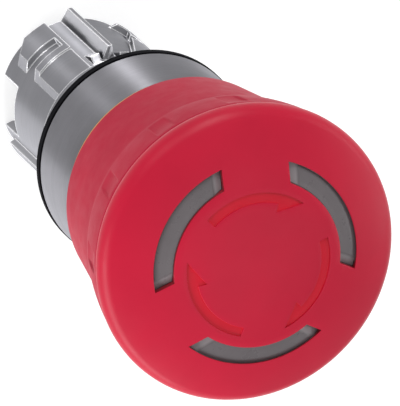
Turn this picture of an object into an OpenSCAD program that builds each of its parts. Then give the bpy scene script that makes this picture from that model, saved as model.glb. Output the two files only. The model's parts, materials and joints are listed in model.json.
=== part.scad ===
// Twist-to-release emergency stop button: a 40 mm mushroom cap with three lit
// windows, on a metal head that passes through a 22.3 mm panel hole.
// +Z points out of the panel towards the operator. The origin is on the button's
// axis, in the plane of the panel's front face. Angles run about +Z from +X, and
// the wide catch of the rear housing faces +Y.

/* [Cap] */
// Widest diameter of the mushroom cap
cap_d = 40; // [38:0.5:44]
// Height of the widest circle above the panel
rim_height = 39.2; // [38.4:0.1:43]
// Radius of the rounded lip round the face
lip_r = 2.3; // [1.8:0.1:2.6]
// Spherical radius of the domed face
dome_r = 40; // [36:0.5:50]
// Wall thickness of the face
face_wall = 1.8; // [1.5:0.1:2.1]
// Distance that the cap is pushed in
travel = 4.5; // [3:0.1:5]
// Height of the grip band behind the lip
band_h = 7.6; // [6:0.1:8.4]
// Slope of the grip band: how much its radius shrinks over its height
band_taper = 1.55; // [1:0.05:2]
// Bulge of the grip band above its straight slope
band_bulge = 0.15; // [0.05:0.01:0.3]
// Step down from the grip band to the skirt
band_step = 0.3; // [0.1:0.05:0.5]
// Length of the skirt behind the grip band
skirt_len = 15.1; // [12:0.1:16]
// Hollow of the skirt's flare below its straight slope
skirt_hollow = 0.3; // [0.1:0.05:0.5]

/* [Grip recesses] */
// Number of grip recesses round the band
grip_count = 12; // [6:1:18]
// Width of a grip recess
grip_w = 2.6; // [1.5:0.1:4]
// Depth of a grip recess at its middle
grip_depth = 0.3; // [0.2:0.05:0.5]
// Length of a grip recess along the band
grip_len = 5.8; // [4:0.1:6.4]

/* [Windows] */
// Number of windows in the face
window_count = 3; // [2:1:4]
// Diameter of the circle along the middle of the windows
window_ring_d = 25.1; // [23:0.1:26]
// Width of a window
window_w = 2.5; // [1.6:0.1:3]
// Angle that a window's outer edge spans
window_span = 81.6; // [50:0.2:84]
// Angle between a window's end and its middle line
window_end = 59; // [50:1:80]
// Depth of the lens below the face
lens_recess = 0.35; // [0.1:0.05:0.8]
// Length of the bevel at each end of a lens arc
lens_bevel = 1.5; // [0.8:0.1:2.2]

/* [Turn arrows] */
// Radial width of an arrow's shaft
arrow_w = 1.3; // [0.8:0.1:1.8]
// Depth of the arrows engraved in the face
arrow_depth = 0.2; // [0.1:0.05:0.4]
// Distance from the windows to the arrows
arrow_margin = 1.55; // [1:0.05:2.4]
// Angle that an arrow spans from tail to tip
arrow_span = 84; // [60:1:100]
// Angle that an arrow's head takes up
arrow_head_span = 21; // [14:1:30]
// How far the barb reaches inside the shaft
arrow_barb = 1.1; // [0.6:0.1:1.6]

/* [Collar] */
// Outer diameter of the metal collar
collar_d = 28.5; // [28:0.1:30]
// Wall thickness of the collar
collar_wall = 1.35; // [1.1:0.05:1.5]
// Thickness of the collar's floor
collar_floor = 1.2; // [0.9:0.1:1.6]
// Thickness of the panel gasket
gasket_t = 1; // [0.8:0.1:1.4]

/* [Rear housing] */
// Diameter of the neck that fills the panel hole
neck_d = 22.2; // [21.8:0.1:22.3]
// Step from the neck in to the catches and to the housing inside the collar
neck_step = 0.2; // [0.16:0.02:0.3]
// Length of the neck behind the panel face
neck_len = 7.2; // [6:0.1:8]
// Diameter of the housing behind the neck
barrel_d = 20; // [19.4:0.1:20.6]
// Depth of the housing behind the panel face
rear_depth = 26.6; // [24:0.1:28]
// Wall thickness of the housing
barrel_wall = 1.7; // [1.4:0.05:1.9]
// Thickness of the flange inside the collar
flange_t = 1.6; // [1.2:0.1:2]
// Width of the rear catch across its flat top, as an angle
catch_span = 28; // [20:1:36]
// Length of the hooked rear end of the catch
hook_len = 5.9; // [4:0.1:6.5]
// Width of the groove in front of the hook
groove_w = 3.1; // [2.4:0.1:4]
// Depth of the side notch in the rear rim
notch_depth = 5.4; // [3:0.1:7]
// Angle that the side notch spans
notch_span = 40; // [20:1:44]
// Angle that a side lug's rear end spans
lug_span = 32; // [24:1:36]
// Angle from a side lug's middle to the widest part of its flank
lug_reach = 35; // [26:1:36]
// Height of the guide fin above the barrel
fin_h = 2.5; // [1:0.1:2.8]
// Width of the guide fin at its root
fin_w = 1.8; // [1.4:0.1:2.6]
// Width of the ramp teeth beside the fin
tooth_w = 1.25; // [0.8:0.05:1.6]

/* [Plunger] */
// Wall thickness of the plunger's lower stem
stem_wall = 2.1; // [1.9:0.05:2.3]
// Diameter of the plunger's upper stem
journal_d = 13; // [12.4:0.1:13.6]
// Wall between the light pipe's bore and the trip slots
slot_floor = 0.9; // [0.7:0.1:1.1]
// Thickness of the plunger's spring flange
spring_flange_t = 1.8; // [1.4:0.1:2.2]
// Installed length of the return spring
spring_len = 11.5; // [10.5:0.1:13]
// Wire diameter of the return spring
spring_wire = 0.9; // [0.6:0.05:1]
// Angle that the trip ring turns over the whole travel
trip_turn = 15; // [8:1:18]
// Diameter of the trip pins
trip_pin_d = 1.4; // [1:0.1:1.6]
// Length of the trip ring along the axis
trip_ring_h = 3.5; // [2.8:0.1:4]
// Wall thickness of the trip ring
trip_ring_wall = 2.2; // [2:0.05:2.4]
// Wire diameter of the trip spring
trip_wire = 0.5; // [0.4:0.05:0.6]
// Room for the trip spring between its ring and the guide bush
trip_spring_len = 2.8; // [2.4:0.1:3.2]

/* [Clearances] */
// Radial clearance of the plunger in its bearings
running_gap = 0.08; // [0.04:0.01:0.1]
// Clearance between parts that move past each other
free_gap = 0.3; // [0.2:0.05:0.4]
// Radial clearance between parts that are fitted together
fit_gap = 0.03; // [0.02:0.01:0.06]

/* [Hidden] */
$fn = 96;

big = 100;
cut = 0.01;
three_quarter_turn = 0.75;

// Radii that several parts share
cap_r = cap_d / 2;
collar_r = collar_d / 2;
collar_bore_r = collar_r - collar_wall;
neck_r = neck_d / 2;
barrel_r = barrel_d / 2;
socket_r = barrel_r - barrel_wall;
catch_r = neck_r - neck_step;
trip_out_r = socket_r - free_gap;
trip_in_r = trip_out_r - trip_ring_wall;
stem_r = trip_in_r - free_gap;
pipe_bore_r = stem_r - stem_wall;
pipe_r = pipe_bore_r - 0.2;
journal_r = journal_d / 2;
seal_r = journal_r + 4;
slot_floor_r = pipe_bore_r + slot_floor;
window_in_r = (window_ring_d - window_w) / 2;
window_out_r = (window_ring_d + window_w) / 2;

// Heights stacked up from the panel
collar_base = gasket_t;
collar_floor_top = collar_base + collar_floor;
housing_top = collar_floor_top + flange_t;
bush_flange_t = 1.2;
bush_top = housing_top + bush_flange_t;
seat_t = 0.6;
spring_base = bush_top + seat_t;
flange_base = spring_base + spring_len;
flange_top = flange_base + spring_flange_t;
retainer_base = flange_top + free_gap;
retainer_t = 1.5;
retainer_top = retainer_base + retainer_t;
collar_rim = 1.3;
collar_top = retainer_top + collar_rim;
stop_base = retainer_top + travel + free_gap + 0.1;
stop_t = 1.5;
stop_top = stop_base + stop_t;

// Heights that hang from the widest circle of the cap
lip_centre_r = cap_r - lip_r;
dome_centre = rim_height - sqrt(pow(dome_r - lip_r, 2) - pow(lip_centre_r, 2));
face_base = rim_height - 0.9;
seam = 0.15;
band_top = face_base - seam;
band_base = band_top - band_h;
skirt_base = band_base - skirt_len;
hub_top = rim_height - 2.9;
hub_disc_t = 1.5;
hub_disc_base = hub_top - hub_disc_t;
hub_base = stop_top + free_gap;
clip_t = 0.8;
clip_base = hub_top + free_gap;
clip_top = clip_base + clip_t;
stem_top = clip_top + 0.8;
pipe_head_t = 1;
pipe_top = stem_top + pipe_head_t;
diffuser_base = pipe_top + 0.5;
diffuser_t = 0.7;

// The cap's outline
band_top_r = cap_r - 0.25;
band_base_r = band_top_r - band_taper;
skirt_top_r = band_base_r - band_step;
ring_t = 0.5;
skirt_edge = 0.55;
ring_in_r = collar_r + free_gap;
ring_out_r = ring_in_r + ring_t;
skirt_base_r = ring_out_r + skirt_edge;
ring_drop = 1.35;
ring_seat_h = 2.1;
face_in_r = cap_r - 2.1;
spigot_h = 0.8;
spigot_r = face_in_r - fit_gap;
hub_seat_r = spigot_r - 0.9;
hub_disc_r = hub_seat_r - fit_gap;
ledge_r = hub_seat_r - 0.75;
hub_rim_r = hub_disc_r - 0.3;
hub_rim_t = 2.2;
diffuser_r = hub_rim_r - 1.2;
hub_wall = 1.5;
hub_chamber_r = journal_r + 2.9;
hub_chamber_h = 4;
hub_boss_r = hub_chamber_r + hub_wall;
hub_rib_count = 6;
hub_rib_w = 1;
hub_rib_h = 3.4;

// Places of the windows and arrows about the axis
first_window = 105.1;
arrow_out_r = window_in_r - arrow_margin;
arrow_in_r = arrow_out_r - arrow_w;
first_arrow_tail = 90.5;

// Places of the rear housing's features about the axis
catch_middle = 80.8;
catch_ramp = 8.2;
catch_rail = 3.2;
notch_start = 115.5;
free_angle = 228;
hook_front = rear_depth - hook_len;
pad_rear = hook_front - groove_w;
pad_ridge = 1.7;
pad_drop = 0.3;
rear_chamfer = 0.6;
rim_step = 0.06;
lug_rear = rear_depth - 2.2;
lug_pad_rear = hook_front - 2.4;
lug_ramp = 4;
lug_rail = 5.5;
fin_angle = 49.2;
fin_lean = 0.3;
fin_front = 9.7;
fin_rake = 31;
tooth_len = 3.6;
tooth_turn = 9.8;

// Places of the trip mechanism
push_ring_base = -14;
push_ring_lip = 0.9;
stem_base = push_ring_base + push_ring_lip;
trip_clip_base = -10.2;
trip_base = trip_clip_base + clip_t + 0.4;
trip_top = trip_base + trip_ring_h;
trip_pin_z = trip_base + trip_ring_h / 2;
trip_pin_r = trip_pin_d / 2;
bush_base = trip_top + trip_spring_len;
clip_groove = 0.6;
clip_band = 1.1;
clip_mouth = 50;

// Unit vector at an angle about the axis
function turned(a) = [cos(a), sin(a)];

// Points of a shallow bow over the way from a to b, off its middle by sag to the right
function bowed(a, b, sag, steps) =
    let (d = b - a, side = [d[1], -d[0]] / norm(d))
    [for (i = [0:steps]) let (t = i / steps) a + d * t + side * sag * 4 * t * (1 - t)];

// Height of the dome's sphere of radius r at a distance from the axis
function dome_at(r, x) = dome_centre + sqrt(r * r - x * x);

module ring(r_out, r_in, z0, z1) {
    translate([0, 0, z0])
        difference() {
            cylinder(r = r_out, h = z1 - z0);
            translate([0, 0, -1])
                cylinder(r = r_in, h = z1 - z0 + 2);
        }
}

// Flat wedge from angle a0 to a1 about the axis, out to radius r
module wedge_2d(r, a0, a1) {
    reach = r / cos((a1 - a0) / 6);
    polygon(concat([[0, 0]], [for (i = [0:3]) reach * turned(a0 + (a1 - a0) * i / 3)]));
}

// Piece of a ring between two radii and two angles
module sector_2d(r_in, r_out, a0, a1) {
    half = (a1 - a0) / 2;
    rotate([0, 0, a0 + half + 180])
        intersection() {
            difference() {
                circle(r = r_out);
                circle(r = r_in);
            }
            wedge_2d(r_out + 1, 180 - half, 180 + half);
        }
}

module sector(r_in, r_out, a0, a1, z0, z1) {
    translate([0, 0, z0])
        linear_extrude(height = z1 - z0)
            sector_2d(r_in, r_out, a0, a1);
}

// Wire coil with its first and last turn nearly closed
function coil_rise(t, turns, wire, rise) =
    let (closed = 1.06 * wire, open = (rise - 2 * closed) / (turns - 2))
    t < 1 ? closed * t
    : t > turns - 1 ? rise - closed * (turns - t)
    : closed + open * (t - 1);

module coil(r, wire, z0, z1, turns, steps = 20, sides = 7) {
    count = round(turns * steps);
    rise = z1 - z0 - wire;
    points = [for (i = [0:count], j = [0:sides - 1])
        let (t = i / steps, a = 360 * t, b = 360 * j / sides,
             x = r + wire / 2 * cos(b),
             z = z0 + wire / 2 + coil_rise(t, turns, wire, rise) + wire / 2 * sin(b))
        [x * cos(a), x * sin(a), z]];
    walls = [for (i = [0:count - 1], j = [0:sides - 1])
        let (a = i * sides + j, b = i * sides + (j + 1) % sides)
        each [[a, b, b + sides], [a, b + sides, a + sides]]];
    start = [for (j = [sides - 1:-1:0]) j];
    end = [for (j = [0:sides - 1]) count * sides + j];
    polyhedron(points, concat([start, end], walls));
}

// Half outline of the face: the dome runs into the rounded lip where they touch
module face_outline() {
    lip = [lip_centre_r, rim_height];
    past_lip = lip + [lip_centre_r, rim_height - dome_centre] / (dome_r - lip_r) * 2 * lip_r;
    above = dome_centre + dome_r + 1;
    intersection() {
        translate([0, dome_centre])
            circle(r = dome_r, $fn = 240);
        polygon([[0, face_base], [lip_centre_r, face_base],
                 lip, past_lip, [past_lip[0], above], [0, above]]);
    }
    intersection() {
        translate([lip_centre_r, rim_height])
            circle(r = lip_r);
        translate([lip_centre_r - lip_r, face_base])
            square([2 * lip_r, 2 * lip_r]);
    }
}

module dome_ball(r) {
    translate([0, 0, dome_centre])
        sphere(r = r, $fn = 240);
}

// One window's flat outline about the +X axis, its ends slanting to a point on its middle line
module window_2d(grown) {
    half = window_span / 2;
    apex = window_out_r * (cos(half) - sin(half) / tan(window_end)) - grown / sin(window_end);
    side = 1.2 * window_out_r * turned(180 - window_end);
    rotate([0, 0, 180])
        intersection() {
            difference() {
                circle(r = window_out_r + grown);
                circle(r = window_in_r - grown);
            }
            polygon([[-apex, 0], [side[0] - apex, side[1]], [-1.6 * window_out_r, 0],
                     [side[0] - apex, -side[1]]]);
        }
}

// Flat outline of the windows, or of what fills them when grown is negative
module windows_2d(grown) {
    for (k = [0:window_count - 1])
        rotate([0, 0, first_window + 360 / window_count * k])
            window_2d(grown);
}

// Clockwise arrow seen from the front, its barb on the inner side only
module arrow_2d(tail) {
    tip = tail - arrow_span;
    head = tip + arrow_head_span;
    steps = 16;
    outer = [for (i = [0:steps - 1]) arrow_out_r * turned(tail + (tip - tail) * i / steps)];
    inner = [for (i = [0:steps]) arrow_in_r * turned(head + (tail - head) * i / steps)];
    polygon(concat(outer, [arrow_out_r * turned(tip), (arrow_in_r - arrow_barb) * turned(head)], inner));
}

// The domed red face, pierced by the windows and engraved with turn arrows
module cap_face() {
    color([0.75, 0.13, 0.2])
        difference() {
            rotate_extrude()
                difference() {
                    face_outline();
                    intersection() {
                        translate([0, dome_centre])
                            circle(r = dome_r - face_wall, $fn = 240);
                        square([face_in_r, big]);
                    }
                }
            difference() {
                translate([0, 0, dome_at(dome_r, window_in_r) - 1])
                    linear_extrude(height = 6)
                        for (k = [0:window_count - 1])
                            arrow_2d(first_arrow_tail + 360 / window_count * k);
                dome_ball(dome_r - arrow_depth);
            }
            translate([0, 0, face_base])
                linear_extrude(height = big)
                    windows_2d(0);
        }
}

// Outline of the grip band and skirt, with their bulge and hollow as shallow bows
module skirt_outline() {
    top = [band_top_r, band_top - 0.4];
    base = [band_base_r, band_base];
    waist = [skirt_top_r, band_base - 0.2];
    rear = [skirt_base_r, skirt_base];
    polygon(concat([[0, skirt_base]], bowed(rear, waist, -skirt_hollow, 6), bowed(base, top, band_bulge, 5),
                   [top - [0.3, -0.4], [spigot_r, band_top], [spigot_r, band_top + spigot_h],
                    [0, band_top + spigot_h]]));
}

// Grip band and flared skirt behind the face, with a spigot inside the face
module cap_skirt() {
    slope = atan(band_taper / band_h);
    middle_r = band_top_r - band_taper / 2 + band_bulge;
    grip_r = (pow(grip_len / 2, 2) + pow(grip_depth, 2)) / (2 * grip_depth);
    ring_seat_top = skirt_base + ring_seat_h;
    color([0.76, 0.2, 0.28])
        difference() {
            rotate_extrude()
                difference() {
                    skirt_outline();
                    polygon([[0, skirt_base - 1], [ring_out_r + fit_gap, skirt_base - 1],
                             [ring_out_r + fit_gap, ring_seat_top], [ring_out_r - 0.15, ring_seat_top],
                             [ledge_r, band_base], [ledge_r, hub_disc_base],
                             [hub_seat_r, hub_disc_base],
                             [hub_seat_r, band_top + spigot_h + 1], [0, band_top + spigot_h + 1]]);
                }
            for (k = [0:grip_count - 1])
                rotate([0, 0, first_window + 360 / grip_count * k])
                    translate([middle_r, 0, band_top - band_h / 2])
                        rotate([0, slope, 0])
                            translate([grip_r - grip_depth, grip_w / 2, 0])
                                rotate([90, 0, 0])
                                    cylinder(r = grip_r, h = grip_w);
        }
}

// What the bevel takes off the end of a lens arc on the +Y side
module lens_end_bevel() {
    middle = window_span / 2 - 2;
    translate([0, 0, dome_centre])
        rotate([0, 0, middle])
            rotate([0, asin(window_ring_d / 2 / dome_r), 0])
                rotate([0, 0, window_end - middle])
                    translate([-4, -lens_bevel, dome_r - lens_recess])
                        rotate([-22, 0, 0])
                            cube([8, 6, 4]);
}

// Smoked lens ring whose raised arcs fill the windows
module light_diffuser() {
    under_face = dome_r - face_wall - 0.2;
    color([0.42, 0.4, 0.4])
        union() {
            translate([0, 0, diffuser_base])
                cylinder(r = diffuser_r, h = diffuser_t);
            intersection() {
                ring(window_out_r + 0.8, window_in_r - 0.8, diffuser_base + cut, big);
                dome_ball(under_face);
            }
            difference() {
                intersection() {
                    translate([0, 0, diffuser_base + cut])
                        linear_extrude(height = 10)
                            windows_2d(-0.06);
                    dome_ball(dome_r - lens_recess);
                }
                for (k = [0:window_count - 1], side = [0, 1])
                    rotate([0, 0, first_window + 360 / window_count * k])
                        mirror([0, side, 0])
                            lens_end_bevel();
            }
        }
}

// Carrier of the cap: a journal on the plunger, a ribbed disc and a rim
module cap_hub() {
    color([0.85, 0.85, 0.82])
        union() {
            rotate_extrude()
                difference() {
                    union() {
                        translate([0, hub_base])
                            square([hub_boss_r, hub_top - hub_base]);
                        translate([0, hub_disc_base])
                            square([hub_disc_r, hub_disc_t]);
                        translate([0, hub_disc_base])
                            square([hub_rim_r, diffuser_base - hub_disc_base]);
                    }
                    translate([-1, hub_base - 1])
                        square([journal_r + running_gap + 1, big]);
                    translate([0, hub_base - 1])
                        square([hub_chamber_r, hub_chamber_h + 1]);
                    translate([0, hub_top])
                        square([hub_rim_r - hub_rim_t, big]);
                }
            for (k = [0:hub_rib_count - 1])
                rotate([0, 0, 360 / hub_rib_count * k])
                    translate([hub_boss_r - 0.3, -hub_rib_w / 2, hub_disc_base - hub_rib_h])
                        cube([ledge_r - free_gap - hub_boss_r + 0.3, hub_rib_w, hub_rib_h + 0.2]);
        }
}

// Yellow sleeve whose edge shows just behind the skirt
module yellow_ring() {
    color([0.85, 0.62, 0.12])
        ring(ring_out_r, ring_in_r, skirt_base - ring_drop, skirt_base + ring_seat_h - fit_gap);
}

// Slot that turns the trip ring: it leans round the stem by the trip angle
module trip_slot() {
    slot_w = trip_pin_d + 2 * free_gap;
    slot_r = (slot_floor_r + stem_r) / 2;
    lean = atan(slot_r * trip_turn * PI / 180 / travel);
    rotate([0, 0, trip_turn / 2])
        translate([slot_floor_r, 0, trip_pin_z + travel / 2])
            rotate([-lean, 0, 0])
                translate([0, -slot_w / 2, -(travel + trip_pin_d) / 2 - 0.6])
                    cube([stem_r, slot_w, travel + trip_pin_d + 1.2]);
}

// Hollow plunger with its spring flange, hub stop, keys and trip slots
module plunger() {
    key_len = 9;
    key_base = bush_base + travel - 0.2;
    color([0.3, 0.3, 0.32])
        difference() {
            union() {
                rotate_extrude()
                    polygon([[pipe_bore_r, stem_base], [stem_r, stem_base], [stem_r, flange_base],
                             [stem_r + 4.1, flange_base], [stem_r + 4.1, flange_top],
                             [journal_r, flange_top],
                             [journal_r, stop_base], [journal_r + 2.1, stop_base],
                             [journal_r + 2.1, stop_top],
                             [journal_r, stop_top], [journal_r, clip_base],
                             [journal_r - clip_groove, clip_base],
                             [journal_r - clip_groove, clip_top], [journal_r, clip_top],
                             [journal_r, stem_top], [pipe_bore_r, stem_top]]);
                for (a = [90, 270])
                    rotate([0, 0, a])
                        translate([stem_r - 0.5, -0.8, key_base])
                            cube([1.3, 1.6, key_len]);
            }
            for (a = [0, 180])
                rotate([0, 0, a])
                    trip_slot();
        }
}

// Clear rod that carries the light from the rear to the diffuser
module light_pipe() {
    color([0.8, 0.85, 0.88])
        rotate_extrude()
            polygon([[0, stem_base + 0.2], [pipe_r - 0.3, stem_base + 0.2], [pipe_r, stem_base + 0.5],
                     [pipe_r, stem_top], [journal_r - 0.6, stem_top],
                     [journal_r - 0.3, pipe_top], [0, pipe_top]]);
}

// Crown at the plunger's rear end that works the contact blocks
module push_ring() {
    crown_r = socket_r - 0.7;
    color([0.2, 0.2, 0.21])
        difference() {
            rotate_extrude()
                polygon([[pipe_bore_r, push_ring_base], [crown_r - 0.3, push_ring_base],
                         [crown_r, push_ring_base + 0.3],
                         [crown_r, push_ring_base + 1.6], [stem_r + 0.9, push_ring_base + 1.9],
                         [stem_r + 0.9, trip_clip_base - free_gap],
                         [stem_r + fit_gap, trip_clip_base - free_gap],
                         [stem_r + fit_gap, stem_base], [pipe_bore_r, stem_base]]);
            for (k = [0:3])
                rotate([0, 0, 45 + 90 * k])
                    translate([stem_r + 1.1, -1, push_ring_base - 1])
                        cube([4, 2, 5]);
        }
}

// Open retaining ring in the plunger's groove, above the hub
module hub_circlip() {
    color([0.7, 0.7, 0.72])
        difference() {
            ring(journal_r - clip_groove + fit_gap + 2 * clip_band, journal_r - clip_groove + fit_gap,
                 clip_base + fit_gap, clip_top - fit_gap);
            sector(1, journal_r + 3, -clip_mouth / 2, clip_mouth / 2, clip_base - 1, clip_top + 1);
        }
}

// Torsion spring that turns the cap back after a release
module hub_torsion_spring() {
    color([0.75, 0.75, 0.77])
        coil(journal_r + 1.4, 0.8, stop_top + fit_gap, hub_base + hub_chamber_h - free_gap, 3.5);
}

// Bright collar: a cup whose rolled rim holds the seal retainer
module collar() {
    color([0.72, 0.72, 0.75])
        rotate_extrude()
            difference() {
                union() {
                    translate([0, collar_base + 0.3])
                        square([collar_r, collar_top - collar_base - 0.8]);
                    polygon([[0, collar_base], [collar_r - 0.3, collar_base],
                             [collar_r, collar_base + 0.3],
                             [collar_r, collar_base + 1], [0, collar_base + 1]]);
                    polygon([[0, collar_top - 1], [collar_r, collar_top - 1],
                             [collar_r, collar_top - 0.5],
                             [collar_r - 0.5, collar_top], [0, collar_top]]);
                }
                translate([0, -1])
                    square([catch_r + fit_gap, big]);
                translate([0, collar_floor_top])
                    square([collar_bore_r, retainer_base - collar_floor_top]);
                translate([0, retainer_base - cut])
                    square([collar_bore_r + 0.3, retainer_t + 0.05 + cut]);
                translate([0, retainer_top])
                    square([collar_bore_r - 0.3, big]);
            }
}

// Rubber gasket between the collar and the panel
module panel_gasket() {
    color([0.06, 0.06, 0.07])
        ring(collar_r + 0.1, neck_r + fit_gap, 0, gasket_t);
}

// Catch that the contact holder snaps over: a hook, a groove closed by a rail, and a ridged pad
module rear_catch() {
    a0 = catch_middle - catch_span / 2;
    a1 = catch_middle + catch_span / 2;
    foot = a1 + catch_ramp;
    difference() {
        translate([0, 0, rim_step - rear_depth])
            linear_extrude(height = rear_depth - rim_step - neck_len) {
                sector_2d(barrel_r - 0.5, catch_r, a0, a1);
                polygon([(barrel_r - 0.4) * turned(a1 - 1), (catch_r - 0.05) * turned(a1 - 1),
                         catch_r * turned(a1),
                         (barrel_r - 0.05) * turned(foot), (barrel_r - 0.4) * turned(foot)]);
            }
        sector(barrel_r - 0.8, catch_r + 1, a0 + catch_rail, foot + 3, -hook_front, -pad_rear);
        ring(catch_r + 1, catch_r - pad_drop, pad_ridge - pad_rear, 1 - neck_len);
        rotate([0, 0, catch_middle])
            translate([barrel_r - 0.25, 0, -rear_depth])
                rotate([0, -33, 0])
                    translate([-1, -8, -4])
                        cube([6, 16, 4]);
        rotate([0, 0, catch_middle + 7.2])
            translate([barrel_r, 0, -rear_depth])
                rotate([31.5, -59, 0])
                    translate([-2, -8, -8])
                        cube([10, 16, 8]);
    }
}

// Lug on the barrel's side: a hook, a pocket in its flank, and a pad that widens to the neck
module side_lug() {
    half = lug_span / 2;
    top = catch_r * turned(half);
    foot = barrel_r * turned(half + lug_ramp);
    middle = (half + lug_reach) / 2;
    flank_len = lug_pad_rear - neck_len;
    lean = atan(catch_r * (lug_reach - half) * PI / 180 / flank_len);
    difference() {
        sector(barrel_r - 0.5, catch_r, -half, lug_reach, -lug_rear, -neck_len);
        translate([0, 0, -lug_rear - 1])
            linear_extrude(height = lug_rear + 1 - lug_pad_rear)
                polygon([2 * top - foot, 2 * foot - top, 8 * turned(60), 16 * turned(60),
                         16 * turned(20)]);
        sector(barrel_r - 0.8, catch_r + 1, lug_rail, lug_reach, -hook_front, -lug_pad_rear);
        rotate([0, 0, middle])
            translate([0, 0, -lug_pad_rear + flank_len / 2])
                rotate([-lean, 0, 0])
                    translate([5, 0, -flank_len])
                        cube([10, 8, 2 * flank_len]);
    }
}

// Ridged fin along the barrel, cut back at the rear and raked to a prow behind the panel
module guide_fin() {
    top = barrel_r + fin_h;
    rotate([0, 0, fin_angle])
        difference() {
            translate([0, 0, rim_step - rear_depth])
                linear_extrude(height = rear_depth - rim_step - neck_len)
                    polygon([[barrel_r - 0.5, -fin_w / 2], [barrel_r - 0.05, -fin_w / 2],
                             [top, fin_lean - 0.3],
                             [top, fin_lean + 0.3], [barrel_r - 0.05, fin_w / 2],
                             [barrel_r - 0.5, fin_w / 2]]);
            translate([barrel_r - 0.1, 0, -rear_depth])
                rotate([0, -43, 0])
                    translate([-2, -2, -4])
                        cube([8, 4, 4]);
            for (side = [-1, 1])
                translate([barrel_r, fin_lean, -fin_front])
                    rotate([0, -fin_rake, 0])
                        rotate([-40 * side, 0, 0])
                            translate([-2, -4, 0])
                                cube([8, 8, 5]);
        }
}

// Tooth beside the fin that rises to a steep front
module ramp_tooth(angle, front) {
    rotate([0, 0, angle])
        translate([0, tooth_w / 2, 0])
            rotate([90, 0, 0])
                linear_extrude(height = tooth_w)
                    polygon([[barrel_r - 0.5, -front - tooth_len], [barrel_r, -front - tooth_len],
                             [catch_r + 0.15, -front - 0.6], [barrel_r, -front],
                             [barrel_r - 0.5, -front]]);
}

// Cast housing behind the panel: neck, barrel, catches, lugs, fin and teeth
module rear_housing() {
    color([0.66, 0.66, 0.7])
        difference() {
            union() {
                rotate([0, 0, free_angle])
                    rotate_extrude()
                        polygon([[0, -rear_depth], [barrel_r, -rear_depth], [barrel_r, -neck_len],
                                 [neck_r, -neck_len], [neck_r, 0], [catch_r, 0],
                                 [catch_r, collar_floor_top],
                                 [collar_bore_r - fit_gap, collar_floor_top],
                                 [collar_bore_r - fit_gap, housing_top], [0, housing_top]]);
                for (a = [0, 180])
                    rotate([0, 0, a]) {
                        rear_catch();
                        side_lug();
                    }
                guide_fin();
                ramp_tooth(fin_angle + tooth_turn, fin_front);
                ramp_tooth(fin_angle - tooth_turn, fin_front - 1);
            }
            translate([0, 0, -big / 2])
                cylinder(r = socket_r, h = big);
            for (a = [0, 180])
                sector(1, neck_r + 1, notch_start + a, notch_start + notch_span + a,
                       -rear_depth - 1, -rear_depth + notch_depth);
            translate([0, 0, trip_clip_base - fit_gap])
                cylinder(r = socket_r + clip_groove, h = clip_t + 2 * fit_gap);
            translate([0, 0, -rear_depth - cut])
                cylinder(r1 = socket_r + rear_chamfer, r2 = socket_r, h = rear_chamfer);
        }
}

// Plastic bush that guides the plunger, with ways for its two keys
module guide_bush() {
    color([0.82, 0.82, 0.78])
        difference() {
            rotate_extrude()
                polygon([[stem_r + running_gap, bush_base], [socket_r - fit_gap, bush_base],
                         [socket_r - fit_gap, housing_top], [socket_r + 2.2, housing_top],
                         [socket_r + 2.2, bush_top], [stem_r + running_gap, bush_top]]);
            for (a = [90, 270])
                rotate([0, 0, a])
                    translate([stem_r - 1, -0.8 - free_gap, bush_base - 1])
                        cube([1.8 + free_gap, 1.6 + 2 * free_gap, big]);
        }
}

// Steel washer under the return spring
module spring_seat() {
    color([0.7, 0.7, 0.72])
        ring(socket_r + 1.9, stem_r + 0.8 + free_gap, bush_top, bush_top + seat_t);
}

module return_spring() {
    color([0.75, 0.75, 0.77])
        coil(stem_r + 2.4, spring_wire, spring_base, flange_base, 5.5);
}

// Plate under the collar's rolled rim: it stops the plunger and holds the seal
module seal_retainer() {
    color([0.7, 0.7, 0.72])
        rotate_extrude()
            polygon([[journal_r + 2.4, retainer_base], [collar_bore_r + 0.27, retainer_base],
                     [collar_bore_r + 0.27, retainer_top], [seal_r, retainer_top],
                     [seal_r, retainer_base + 0.5], [journal_r + 2.4, retainer_base + 0.5]]);
}

// Rubber lip seal round the plunger
module shaft_seal() {
    lip_r = journal_r + running_gap;
    color([0.08, 0.08, 0.09])
        rotate_extrude()
            polygon([[lip_r + 0.5, retainer_base + 0.5], [seal_r, retainer_base + 0.5],
                     [seal_r, retainer_top], [journal_r + 2.2, retainer_top],
                     [journal_r + 1.4, retainer_top - 0.5], [lip_r + 0.6, retainer_top + 0.1],
                     [lip_r, retainer_top + 0.1], [lip_r, retainer_top - 0.6]]);
}

// Ring whose pins ride in the plunger's leaning slots, so that pushing turns it
module trip_ring() {
    color([0.78, 0.72, 0.55])
        difference() {
            ring(trip_out_r, trip_in_r, trip_base, trip_top);
            for (a = [0, 180])
                rotate([0, 0, a])
                    translate([trip_in_r - 1, 0, trip_pin_z])
                        rotate([0, 90, 0])
                            cylinder(r = trip_pin_r + fit_gap / 2, h = trip_out_r);
            for (a = [90, 270])
                rotate([0, 0, a])
                    translate([trip_out_r - 0.8, -1.2, trip_top - 1])
                        cube([2, 2.4, 2]);
        }
}

module trip_pins() {
    color([0.8, 0.8, 0.82])
        for (a = [0, 180])
            rotate([0, 0, a])
                translate([slot_floor_r + free_gap, 0, trip_pin_z])
                    rotate([0, 90, 0])
                        cylinder(r = trip_pin_r, h = trip_out_r - 0.1 - slot_floor_r - free_gap);
}

module trip_spring() {
    color([0.75, 0.75, 0.77])
        coil((trip_in_r + trip_out_r) / 2, trip_wire, trip_top + free_gap, bush_base - fit_gap, 2.6);
}

// Open retaining ring in the housing's groove, behind the trip ring
module trip_circlip() {
    color([0.7, 0.7, 0.72])
        difference() {
            ring(socket_r + clip_groove - fit_gap, socket_r - clip_band, trip_clip_base, trip_clip_base + clip_t);
            sector(1, socket_r + 3, 270 - clip_mouth / 2, 270 + clip_mouth / 2,
                   trip_clip_base - 1, trip_clip_base + clip_t + 1);
        }
}

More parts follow.
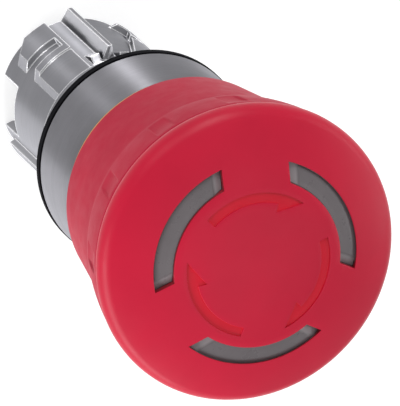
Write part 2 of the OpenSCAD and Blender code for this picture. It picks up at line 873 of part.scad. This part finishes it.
cap_face();
cap_skirt();
light_diffuser();
cap_hub();
yellow_ring();
plunger();
light_pipe();
push_ring();
hub_circlip();
hub_torsion_spring();
collar();
panel_gasket();
rear_housing();
guide_bush();
spring_seat();
return_spring();
seal_retainer();
shaft_seal();
trip_ring();
trip_pins();
trip_spring();
trip_circlip();
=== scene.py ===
import json
import math

import bmesh
import bpy
from mathutils import Matrix, Vector
from mathutils.bvhtree import BVHTree


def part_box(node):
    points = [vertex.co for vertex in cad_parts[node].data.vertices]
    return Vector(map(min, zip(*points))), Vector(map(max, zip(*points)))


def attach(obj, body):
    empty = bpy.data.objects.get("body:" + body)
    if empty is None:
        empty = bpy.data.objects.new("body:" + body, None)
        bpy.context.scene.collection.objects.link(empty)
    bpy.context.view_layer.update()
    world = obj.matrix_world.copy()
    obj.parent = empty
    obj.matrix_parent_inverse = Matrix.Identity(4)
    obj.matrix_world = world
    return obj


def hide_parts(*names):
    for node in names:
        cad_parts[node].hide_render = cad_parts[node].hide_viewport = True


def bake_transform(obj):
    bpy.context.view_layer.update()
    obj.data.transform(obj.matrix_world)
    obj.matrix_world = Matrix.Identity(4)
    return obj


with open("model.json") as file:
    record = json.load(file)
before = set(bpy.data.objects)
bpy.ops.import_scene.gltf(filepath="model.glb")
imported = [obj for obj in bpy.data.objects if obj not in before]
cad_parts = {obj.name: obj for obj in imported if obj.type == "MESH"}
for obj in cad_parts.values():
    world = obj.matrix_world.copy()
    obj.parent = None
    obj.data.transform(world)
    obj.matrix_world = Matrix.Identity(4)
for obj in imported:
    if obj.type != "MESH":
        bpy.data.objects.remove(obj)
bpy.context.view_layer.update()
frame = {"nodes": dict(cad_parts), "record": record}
nodes = frame["nodes"]
scene = bpy.context.scene
scene.view_settings.view_transform = "Standard"


# ---------------------------------------------------------------- camera
PHOTO_WIDTH, PHOTO_HEIGHT = 400, 406     # pixels
SENSOR = 36                              # mm, along the longer side of the picture


def make_camera():
    """A long lens 2.2 m away, looking down on the cap at the photograph's angle."""
    tilt, turn, spin = math.radians(27.72), math.radians(43.07), math.radians(181.5)
    focal_px, distance = 17200.0, 2.2
    rim_z, rim_px, rim_py = 0.03916, 243.3, 250.6      # centre of the cap's widest circle
    # the part's axes as the camera has them: right, down and forward
    z_axis = Vector((math.sin(tilt) * math.cos(turn), math.sin(tilt) * math.sin(turn),
                     -math.cos(tilt)))
    side = Vector((-math.sin(turn), math.cos(turn), 0))
    x_axis = side * math.cos(spin) + z_axis.cross(side) * math.sin(spin)
    to_part = Matrix((x_axis, z_axis.cross(x_axis), z_axis))
    rim = Vector(((rim_px - (PHOTO_WIDTH - 1) / 2) / focal_px,
                  (rim_py - (PHOTO_HEIGHT - 1) / 2) / focal_px, 1)) * distance
    origin = rim - z_axis * rim_z
    data = bpy.data.cameras.new("camera")
    data.sensor_width = SENSOR
    data.lens = focal_px * SENSOR / PHOTO_HEIGHT
    data.clip_start, data.clip_end = 0.1, 10
    camera = bpy.data.objects.new("camera", data)
    scene.collection.objects.link(camera)
    # Blender's camera has up and back where the axes above have down and forward
    rotation = to_part @ Matrix(((1, 0, 0), (0, -1, 0), (0, 0, -1)))
    camera.matrix_world = Matrix.Translation(-(to_part @ origin)) @ rotation.to_4x4()
    scene.camera = camera


make_camera()


# ---------------------------------------------------------------- node helpers
DOME_CENTRE = (0, 0, 0.005913)           # the face is part of a sphere round this point, in metres
# where a mask is still 1, and where it has fallen to 0
EDGE_HIGHLIGHT = (0.90, 0.99)                    # painted edge highlight, by how far the softened normal agrees with the real one
FLANK = (0.5, 0.85)                      # painted highlight on walls and ends, by how squarely the surface faces away from the axis


class Tree:
    """One new material, with short names for building its nodes."""

    def __init__(self, name):
        self.material = bpy.data.materials.new(name)
        self.material.use_nodes = True
        self.tree = self.material.node_tree
        self.tree.nodes.clear()
        self.out = self.node("OutputMaterial")
        self.coords = self.node("TexCoord").outputs["Object"]

    def node(self, kind, **values):
        n = self.tree.nodes.new("ShaderNode" + kind)
        for key, value in values.items():
            setattr(n, key, value)
        return n

    def link(self, a, b):
        self.tree.links.new(a, b)

    def noise(self, scale, detail, rough=0.5, coords=None):
        """Noise with so many features to the metre."""
        n = self.node("TexNoise")
        n.inputs["Scale"].default_value = scale
        n.inputs["Detail"].default_value = detail
        n.inputs["Roughness"].default_value = rough
        self.link(coords or self.coords, n.inputs["Vector"])
        return n.outputs["Fac"]

    def stretched(self, scale):
        """The coordinates with their own number of features along each axis."""
        n = self.node("Mapping")
        n.inputs["Scale"].default_value = scale
        self.link(self.coords, n.inputs["Vector"])
        return n.outputs["Vector"]

    def ramp(self, fac, dark, light):
        """A colour between two, over the middle of the noise's range."""
        n = self.node("ValToRGB")
        for element, at, colour in zip(n.color_ramp.elements, (0.3, 0.7), (dark, light)):
            element.position = at
            element.color = (*colour, 1)
        self.link(fac, n.inputs["Fac"])
        return n.outputs["Color"]

    def cloudy(self, colour, spread, fac):
        """The colour, drifting between a darker and a lighter shade of itself."""
        return self.ramp(fac, shade(colour, 1 - spread), shade(colour, 1 + spread))

    def span(self, fac, start, end, low=0.3, high=0.7):
        """From start to end, as the value goes from low to high."""
        n = self.node("MapRange")
        n.inputs["From Min"].default_value = low
        n.inputs["From Max"].default_value = high
        n.inputs["To Min"].default_value = start
        n.inputs["To Max"].default_value = end
        self.link(fac, n.inputs["Value"])
        return n.outputs["Result"]

    def below(self, value, low, high):
        """A mask that is 1 up to low, and falls to 0 at high."""
        return self.span(value, 1.0, 0.0, low, high)

    def calc(self, operation, a, b=None):
        n = self.node("Math", operation=operation)
        self.link(a, n.inputs[0])
        if b:
            self.link(b, n.inputs[1])
        return n.outputs[0]

    def vector(self, operation, a, b=None):
        """A vector operation on a and b, where b may be a constant."""
        n = self.node("VectorMath", operation=operation)
        self.link(a, n.inputs[0])
        if isinstance(b, tuple):
            n.inputs[1].default_value = b
        elif b:
            self.link(b, n.inputs[1])
        return n.outputs["Value" if operation in ("DOT_PRODUCT", "LENGTH") else "Vector"]

    def mix(self, mask, a, b):
        """Colour a where the mask is 0, the constant b where it is 1."""
        n = self.node("Mix", data_type="RGBA")
        first, second = [i for i in n.inputs if i.type == "RGBA"]
        second.default_value = (*b, 1)
        self.link(mask, n.inputs["Factor"])
        self.link(a, first)
        return [o for o in n.outputs if o.type == "RGBA"][0]

    def bump(self, height, distance, strength, normal=None):
        n = self.node("Bump")
        n.inputs["Strength"].default_value = strength
        n.inputs["Distance"].default_value = distance
        self.link(height, n.inputs["Height"])
        if normal:
            self.link(normal, n.inputs["Normal"])
        return n.outputs["Normal"]

    def edges(self, width):
        """The normal softened over the edges, and a mask that is 1 on them, where highlight is
        painted.
        """
        soft = self.node("Bevel", samples=6).outputs["Normal"]
        soft.node.inputs["Radius"].default_value = width
        agrees = self.vector("DOT_PRODUCT", soft, self.node("NewGeometry").outputs["Normal"])
        return soft, self.below(agrees, *EDGE_HIGHLIGHT)

    def outward(self):
        """The way from the part's axis straight out to the surface."""
        return self.vector("MULTIPLY", self.coords, (1, 1, 0))

    def flanks(self):
        """A mask that is 1 on walls and ends, and 0 where the surface faces away from the axis,
        for painted highlight.
        """
        facing = self.vector("DOT_PRODUCT", self.vector("NORMALIZE", self.outward()),
                             self.coords.node.outputs["Normal"])
        return self.below(self.calc("ABSOLUTE", facing), *FLANK)

    def sunk(self, low, high):
        """A mask that is 1 up to low from the dome's centre, and falls to 0 at high."""
        offset = self.vector("SUBTRACT", self.coords, DOME_CENTRE)
        return self.below(self.vector("LENGTH", offset), low, high)

    def surface(self, colour, rough, normal, **fixed):
        n = self.node("BsdfPrincipled")
        for key, value in fixed.items():
            n.inputs[key.replace("_", " ")].default_value = value
        self.link(colour, n.inputs["Base Color"])
        self.link(rough, n.inputs["Roughness"])
        self.link(normal, n.inputs["Normal"])
        self.link(n.outputs["BSDF"], self.out.inputs["Surface"])
        return n


def shade(colour, factor):
    return tuple(min(c * factor, 1.0) for c in colour)


# ---------------------------------------------------------------- materials
# features to the metre: slow clouds in the colour, satin patches in the gloss, grain in the bump
PLASTIC_CLOUDS, PLASTIC_SATIN, PLASTIC_GRAIN = 90, 420, 2600
LENS_CLOUDS, LENS_SATIN, LENS_GRAIN = 130, 700, 1500
METAL_CLOUDS, METAL_SATIN, METAL_GRAIN = 140, 600, 1500
RUBBER_GRAIN = 1200
TURNING_MARKS = (60, 60, 9000)           # long round the axis, and fine along it

# bounds of the face's and the lens's parts where light and shade are painted, in metres from the
# dome's centre or from the axis
LENS_END = (0.03948, 0.03962)
ARROW_FLOOR, WINDOW_WALL = (0.03982, 0.03990), (0.03990, 0.03996)
ARROW_RING, WINDOW_RING = (0.0103, 0.0108), (0.0145, 0.0149)


def moulded(name, colour, rough=0.42, grain=PLASTIC_GRAIN, depth=0.000006, spread=0.06, **fixed):
    """Moulded plastic: slow colour drift, satin patches and a fine grain."""
    t = Tree(name)
    tint = t.cloudy(colour, spread, t.noise(PLASTIC_CLOUDS, detail=3, rough=0.6))
    gloss = t.span(t.noise(PLASTIC_SATIN, detail=4, rough=0.65), rough - 0.05, rough + 0.06)
    normal = t.bump(t.noise(grain, detail=3, rough=0.6), depth, strength=0.6)
    t.surface(tint, gloss, normal, **fixed)
    return t.material


def smoked(name, colour, end_light_colour, rough):
    """The lens: cloudy smoked plastic, with painted highlight making the bevels at the ends of its
    arcs paler.
    """
    t = Tree(name)
    tint = t.cloudy(colour, 0.12, t.noise(LENS_CLOUDS, detail=4, rough=0.65))
    # painted highlight: paler where the lens sinks towards its end bevels
    tint = t.mix(t.sunk(*LENS_END), tint, end_light_colour)
    gloss = t.span(t.noise(LENS_SATIN, detail=3, rough=0.6), rough - 0.05, rough + 0.07)
    normal = t.bump(t.noise(LENS_GRAIN, detail=3, rough=0.6), 0.000003, strength=0.5)
    t.surface(tint, gloss, normal)
    return t.material


def engraved(name, colour, arrow_floor_light, wall_shade_colour, rough, **fixed):
    """The face's moulded red, with painted light making it fuller in the arrows' floors and
    painted shade darkening the windows' walls.
    """
    t = Tree(name)
    radius = t.vector("LENGTH", t.outward())
    in_arrows, in_windows = t.below(radius, *ARROW_RING), t.below(radius, *WINDOW_RING)
    # painted light: a fuller, brighter red in the arrows' floors
    arrow = t.calc("MULTIPLY", t.sunk(*ARROW_FLOOR), in_arrows)
    # painted shade: the windows' walls darkened
    wall = t.calc("MULTIPLY", t.sunk(*WINDOW_WALL), t.calc("SUBTRACT", in_windows, in_arrows))
    tint = t.cloudy(colour, 0.05, t.noise(PLASTIC_CLOUDS, detail=3, rough=0.6))
    tint = t.mix(wall, t.mix(arrow, tint, arrow_floor_light), wall_shade_colour)
    gloss = t.span(t.noise(PLASTIC_SATIN, detail=4, rough=0.65), rough - 0.04, rough + 0.05)
    normal = t.bump(t.noise(PLASTIC_GRAIN, detail=3, rough=0.6), 0.000004, strength=0.5)
    t.surface(tint, gloss, normal, **fixed)
    return t.material


def metal(name, colour, rough):
    """Satin metal: cloudy tone, uneven roughness and a fine grain."""
    t = Tree(name)
    tint = t.cloudy(colour, 0.08, t.noise(METAL_CLOUDS, detail=4, rough=0.6))
    gloss = t.span(t.noise(METAL_SATIN, detail=4, rough=0.7), rough - 0.07, rough + 0.09)
    normal = t.bump(t.noise(METAL_GRAIN, detail=4, rough=0.7), 0.000008, strength=0.7)
    t.surface(tint, gloss, normal, Metallic=1.0)
    return t.material


def turned_metal(name, colour, rough, highlight_width, highlight_colour, flank_light_colour=None):
    """Turned metal: cloudy tone, fine marks round the axis, painted highlight on the edges and,
    when a flank colour is given, painted highlight on walls and ends.
    """
    t = Tree(name)
    tint = t.cloudy(colour, 0.08, t.noise(METAL_CLOUDS, detail=4, rough=0.6))
    # painted highlight: walls and ends paler than the rest, by how they face
    if flank_light_colour:
        tint = t.mix(t.flanks(), tint, flank_light_colour)
    # painted highlight: the edges lightened, as if their rounding caught the light
    soft, edge_highlight = t.edges(highlight_width)
    tint = t.mix(edge_highlight, tint, highlight_colour)
    marks = t.noise(1.0, detail=3, rough=0.7, coords=t.stretched(TURNING_MARKS))
    gloss = t.span(marks, rough - 0.05, rough + 0.07)
    normal = t.bump(marks, 0.000003, strength=0.5, normal=soft)
    body = t.surface(tint, gloss, normal, Metallic=1.0, Anisotropic=1.0, Anisotropic_Rotation=0.25)
    around = t.node("Tangent", direction_type="RADIAL", axis="Z").outputs["Tangent"]
    t.link(around, body.inputs["Tangent"])
    return t.material


materials = {
    # red face: painted light in the arrows' floors, painted shade on the windows' walls
    "red_face": engraved("red_face", (0.51, 0.007, 0.034), (0.57, 0.005, 0.023),
                         (0.24, 0.01, 0.018), 0.38, Specular_IOR_Level=0.2),
    "red_skirt": moulded("red_skirt", (0.45, 0.008, 0.036), 0.44, Specular_IOR_Level=0.05),
    # lens: its pale second colour is a painted highlight on the end bevels
    "lens": smoked("lens", (0.10, 0.086, 0.092), (0.23, 0.21, 0.22), 0.30),
    "white_plastic": moulded("white_plastic", (0.72, 0.71, 0.67), 0.45),
    "yellow_plastic": moulded("yellow_plastic", (0.62, 0.3, 0.05), 0.45),
    "black_plastic": moulded("black_plastic", (0.04, 0.04, 0.045), 0.42, spread=0.2),
    "clear_plastic": moulded("clear_plastic", (0.75, 0.8, 0.82), 0.18, Transmission_Weight=0.6),
    # both turned metals get a painted highlight on their edges; the cast metal also gets one on
    # its walls and ends
    "bright_metal": turned_metal("bright_metal", (0.213, 0.211, 0.227), 0.52,
                                 0.00012, (0.7, 0.7, 0.72)),
    "cast_metal": turned_metal("cast_metal", (0.25, 0.25, 0.268), 0.42,
                               0.00030, (0.95, 0.95, 0.97), (0.36, 0.36, 0.38)),
    "spring_steel": metal("spring_steel", (0.45, 0.45, 0.47), 0.3),
    "rubber": moulded("rubber", (0.0045, 0.0045, 0.006), 0.7, grain=RUBBER_GRAIN, depth=0.00001,
                      spread=0.3, Specular_IOR_Level=0.03),
}
slots = {s["node"]: s["material_slot"] for s in frame["record"]["subparts"]}


def dress(obj, slot):
    obj.data.materials.clear()
    obj.data.materials.append(materials[slot])


for name, obj in nodes.items():
    dress(obj, slots[name])


def round_edges(name, width):
    """Soft edges on a CAD node, by modifiers alone."""
    obj = nodes[name]
    weld = obj.modifiers.new("weld", "WELD")
    weld.merge_threshold = 0.0000005
    bevel = obj.modifiers.new("bevel", "BEVEL")
    bevel.width = width
    bevel.segments = 2
    bevel.limit_method = "ANGLE"
    bevel.angle_limit = math.radians(32)
    bevel.use_clamp_overlap = True


round_edges("collar", 0.00010)
round_edges("cap_face", 0.00012)
round_edges("light_diffuser", 0.00008)


# ---------------------------------------------------------------- pieces built here
# lengths in millimetres, as in the part's source
MM = 0.001
FIRST_WINDOW = 105.1                     # degrees
WINDOWS, GRIPS = 3, 12
WINDOW_IN, WINDOW_OUT = 11.3, 13.8
WINDOW_HALF, WINDOW_END = math.radians(40.8), math.radians(59)


def new_mesh(name, points, faces, sharp=32):
    """A smooth mesh from points in millimetres, with its sharp edges kept."""
    mesh = bpy.data.meshes.new(name)
    mesh.from_pydata([[c * MM for c in p] for p in points], [], faces)
    mesh.update()
    mesh.shade_smooth()
    mesh.set_sharp_from_angle(angle=math.radians(sharp))
    obj = bpy.data.objects.new(name, mesh)
    scene.collection.objects.link(obj)
    return obj


def line(a, b, steps, bulge=0.0):
    """Points from a to b, bowed outwards, without the last."""
    rows = []
    for i in range(steps):
        t = i / steps
        rows.append((a[0] + (b[0] - a[0]) * t + bulge * 4 * t * (1 - t), a[1] + (b[1] - a[1]) * t))
    return rows


def make_skirt():
    """The red skirt and its grip band, with shallow grips whose walls are softened."""
    low, high = 30.62, 37.95             # the band that has the grips
    # the profile as radius and height: rear edge, flare, step, bowed band, rim, and back inside
    rows = [(14.95, 17.5), (14.95, 15.62), (15.05, 15.47), (15.5, 15.45), (15.66, 15.5),
            (15.75, 15.64)]
    rows += line((15.78, 15.8), (17.78, 30.1), 12)
    rows += [(17.80, 30.2), (17.86, 30.36), (17.98, 30.48), (18.12, 30.54)]
    rows += line((18.24, low), (19.76, high), 26, 0.14)
    rows += [(19.76, high), (19.76, 38.12), (19.70, 38.22), (19.56, 38.26), (17.0, 38.26),
             (16.9, 37.0)]
    # columns across one grip, closer together at its walls, measured along the band
    half = [0.45, 0.9, 1.1, 1.18, 1.26, 1.34, 1.42, 1.5, 1.7, 2.1, 2.7, 3.3, 3.9, 4.5]
    offsets = [-t for t in reversed(half)] + [0] + half
    band_radius, inside_radius = 19.0, 18
    grip_half, wall, depth = 1.3, 0.15, 0.3
    grip_middle, grip_reach = (low + high) / 2 + 0.1, 2.95
    points, faces = [], []
    for k in range(GRIPS):
        for t in offsets:
            a = math.radians(FIRST_WINDOW + 360 / GRIPS * k) + t / band_radius
            edge = min(max((grip_half + wall - abs(t)) / (2 * wall), 0), 1)
            edge = edge * edge * (3 - 2 * edge)
            for r, z in rows:
                along = (z - grip_middle) / grip_reach
                if low <= z <= high and r > inside_radius and abs(along) < 1:
                    r -= depth * edge * (1 - along * along)
                points.append((r * math.cos(a), r * math.sin(a), z))
    columns, n = GRIPS * len(offsets), len(rows)
    for c in range(columns):
        d = (c + 1) % columns
        for i in range(n):
            j = (i + 1) % n
            faces.append((c * n + i, d * n + i, d * n + j, c * n + j))
    skirt = new_mesh("skirt", points, faces, 40)
    dress(skirt, "red_skirt")
    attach(skirt, "cap")
    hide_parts("cap_skirt")


def window_outline(inset, arc_steps=28, end_steps=6):
    """Points round one window, a little inside its edge."""
    sine, cosine = math.sin(WINDOW_END), math.cos(WINDOW_END)
    # the window's two straight ends, drawn on, meet at this distance from the axis
    apex = WINDOW_OUT * (math.cos(WINDOW_HALF) - math.sin(WINDOW_HALF) / math.tan(WINDOW_END))
    apex += inset / sine

    def arc(r, sign):
        reach = math.sqrt(r * r - (apex * sine) ** 2) - apex * cosine
        half = sign * math.atan2(reach * sine, apex + reach * cosine)
        angles = [half * (2 * i / arc_steps - 1) for i in range(arc_steps + 1)]
        return [(r * math.cos(a), r * math.sin(a)) for a in angles]

    inner, outer = arc(WINDOW_IN + inset, 1), arc(WINDOW_OUT - inset, -1)
    (x0, y0), (x1, y1) = inner[-1], outer[0]
    end = [(x0 + (x1 - x0) * i / end_steps, y0 + (y1 - y0) * i / end_steps)
           for i in range(1, end_steps)]
    return inner + end + outer + [(x, -y) for x, y in reversed(end)]


def make_gap_shade():
    """The joint between each lens arc and the edge of its window, drawn as a fine black strip:
    painted shade for the shadow in the gap.
    """
    lens = nodes["light_diffuser"]
    tree = BVHTree.FromPolygons([lens.matrix_world @ v.co for v in lens.data.vertices],
                                [list(f.vertices) for f in lens.data.polygons])
    outer, inner = window_outline(0.005), window_outline(0.085)
    probe = window_outline(0.16)         # on the lens itself, where its height is read
    over_cap, proud = 60, 0.03
    points, faces = [], []
    for k in range(WINDOWS):
        a = math.radians(FIRST_WINDOW + 360 / WINDOWS * k)
        ca, sa = math.cos(a), math.sin(a)
        base, n = len(points), len(inner)
        for (x0, y0), (x1, y1), (xp, yp) in zip(outer, inner, probe):
            above = Vector((xp * ca - yp * sa, xp * sa + yp * ca, over_cap)) * MM
            z = tree.ray_cast(above, Vector((0, 0, -1)))[0].z / MM + proud
            points.append((x0 * ca - y0 * sa, x0 * sa + y0 * ca, z))
            points.append((x1 * ca - y1 * sa, x1 * sa + y1 * ca, z))
        for i in range(n):
            j = (i + 1) % n
            faces.append((base + 2 * i, base + 2 * j, base + 2 * j + 1, base + 2 * i + 1))
    gap_shade = new_mesh("lens_gap_shade", points, faces)
    # painted shade: black plastic laid over the shadowed gap
    dress(gap_shade, "black_plastic")
    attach(gap_shade, "cap")


def make_return_coil():
    """The return spring, drawn as a coil of wire in place of the CAD spring."""
    low, high = (Vector(corner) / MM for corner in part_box("return_spring"))
    wire, turns, steps, sides = 0.9, 5.5, 24, 10
    radius = high.x - wire / 2
    rise, closed = high.z - low.z - wire, 1.06 * wire      # the first and last turn nearly touch
    pitch = (rise - 2 * closed) / (turns - 2)
    points, faces = [], []
    count = round(turns * steps)
    for i in range(count + 1):
        t = i / steps
        if t < 1:
            z = closed * t
        elif t > turns - 1:
            z = rise - closed * (turns - t)
        else:
            z = closed + pitch * (t - 1)
        for j in range(sides):
            b = math.tau * j / sides
            r = radius + wire / 2 * math.cos(b)
            points.append((r * math.cos(math.tau * t), r * math.sin(math.tau * t),
                           low.z + wire / 2 + z + wire / 2 * math.sin(b)))
    for i in range(count):
        for j in range(sides):
            a, b = i * sides + j, i * sides + (j + 1) % sides
            faces.append((a, a + sides, b + sides, b))
    faces += [tuple(range(sides)), tuple(count * sides + j for j in reversed(range(sides)))]
    coil = new_mesh("return_coil", points, faces)
    dress(coil, "spring_steel")
    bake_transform(coil)
    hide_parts("return_spring")


make_skirt()
make_gap_shade()
make_return_coil()


# ---------------------------------------------------------------- stage
REAR_Z = -0.0266                         # rear end of the housing, on which the button stands
FLOOR_GAP = 0.00002
FLOOR_RADIUS, FLOOR_SIDES, FLOOR_CLOUDS = 1.2, 64, 8
WHITE = (1, 1, 1, 1)
FLOOR_GLOW, SOFT_LIGHT, WHITE_LIGHT = 0.66, 0.3, 1.0


def seen_rays(tree):
    """1 for what the camera sees, also in gloss or through glass, and 0 for light on the part."""
    rays = tree.nodes.new("ShaderNodeLightPath").outputs
    total = rays["Is Camera Ray"]
    for kind in ("Is Glossy Ray", "Is Transmission Ray"):
        add = tree.nodes.new("ShaderNodeMath")
        add.operation, add.use_clamp = "ADD", True
        tree.links.new(total, add.inputs[0])
        tree.links.new(rays[kind], add.inputs[1])
        total = add.outputs[0]
    return total


def make_floor():
    """A pale floor that looks white, keeps the shadow, and is clear from below."""
    mesh = bpy.data.meshes.new("floor")
    b = bmesh.new()
    bmesh.ops.create_circle(b, cap_ends=True, segments=FLOOR_SIDES, radius=FLOOR_RADIUS)
    b.to_mesh(mesh)
    b.free()
    floor = bpy.data.objects.new("floor", mesh)
    floor.location = (0, 0, REAR_Z - FLOOR_GAP)
    scene.collection.objects.link(floor)
    t = Tree("floor")
    diffuse = t.node("BsdfDiffuse")
    t.link(t.ramp(t.noise(FLOOR_CLOUDS, 2), (0.49, 0.49, 0.494), (0.51, 0.51, 0.51)),
           diffuse.inputs["Color"])
    level = t.node("Math", operation="MULTIPLY")
    level.inputs[1].default_value = FLOOR_GLOW
    t.link(seen_rays(t.tree), level.inputs[0])
    glow = t.node("Emission")
    glow.inputs["Color"].default_value = WHITE
    t.link(level.outputs[0], glow.inputs["Strength"])
    lit = t.node("AddShader")
    t.link(diffuse.outputs[0], lit.inputs[0])
    t.link(glow.outputs[0], lit.inputs[1])
    # clear from below, so that the housing's rear end can be looked at
    sides = t.node("MixShader")
    t.link(t.node("NewGeometry").outputs["Backfacing"], sides.inputs["Fac"])
    t.link(lit.outputs[0], sides.inputs[1])
    t.link(t.node("BsdfTransparent").outputs[0], sides.inputs[2])
    t.link(sides.outputs[0], t.out.inputs["Surface"])
    mesh.materials.append(t.material)


def make_world():
    """Soft light on the part, and plain white for what the camera sees."""
    world = bpy.data.worlds.new("world")
    scene.world = world
    world.use_nodes = True
    tree = world.node_tree
    tree.nodes.clear()
    mix = tree.nodes.new("ShaderNodeMixShader")
    tree.links.new(seen_rays(tree), mix.inputs["Fac"])
    for socket, strength in ((mix.inputs[1], SOFT_LIGHT), (mix.inputs[2], WHITE_LIGHT)):
        background = tree.nodes.new("ShaderNodeBackground")
        background.inputs["Color"].default_value = WHITE
        background.inputs["Strength"].default_value = strength
        tree.links.new(background.outputs[0], socket)
    out = tree.nodes.new("ShaderNodeOutputWorld")
    tree.links.new(mix.outputs[0], out.inputs["Surface"])


def lamp(name, azimuth, elevation, size, power):
    """A soft lamp 0.7 m from the part, which it faces, placed by its angles round the axis."""
    distance, target = 0.7, Vector((0, 0, 0.01))
    data = bpy.data.lights.new(name, "AREA")
    data.shape = "RECTANGLE"
    data.size, data.size_y = size
    data.energy = power
    body = bpy.data.objects.new(name, data)
    scene.collection.objects.link(body)
    a, e = math.radians(azimuth), math.radians(elevation)
    toward = Vector((math.cos(e) * math.cos(a), math.cos(e) * math.sin(a), math.sin(e)))
    body.location = target + toward * distance
    body.rotation_mode = "QUATERNION"
    body.rotation_quaternion = toward.to_track_quat("Z", "Y")


make_floor()
make_world()
# angles in degrees, width and height in metres, and watts
lamp("top", 268, 74, (0.7, 0.7), 1.3)
lamp("streak", 46, 22, (0.045, 0.4), 1.95)
lamp("centre", 79, 24, (0.045, 0.4), 0.6)
lamp("left", 180, 13, (1.15, 0.28), 6.6)
lamp("right", -35, 16, (0.7, 0.3), 1.7)
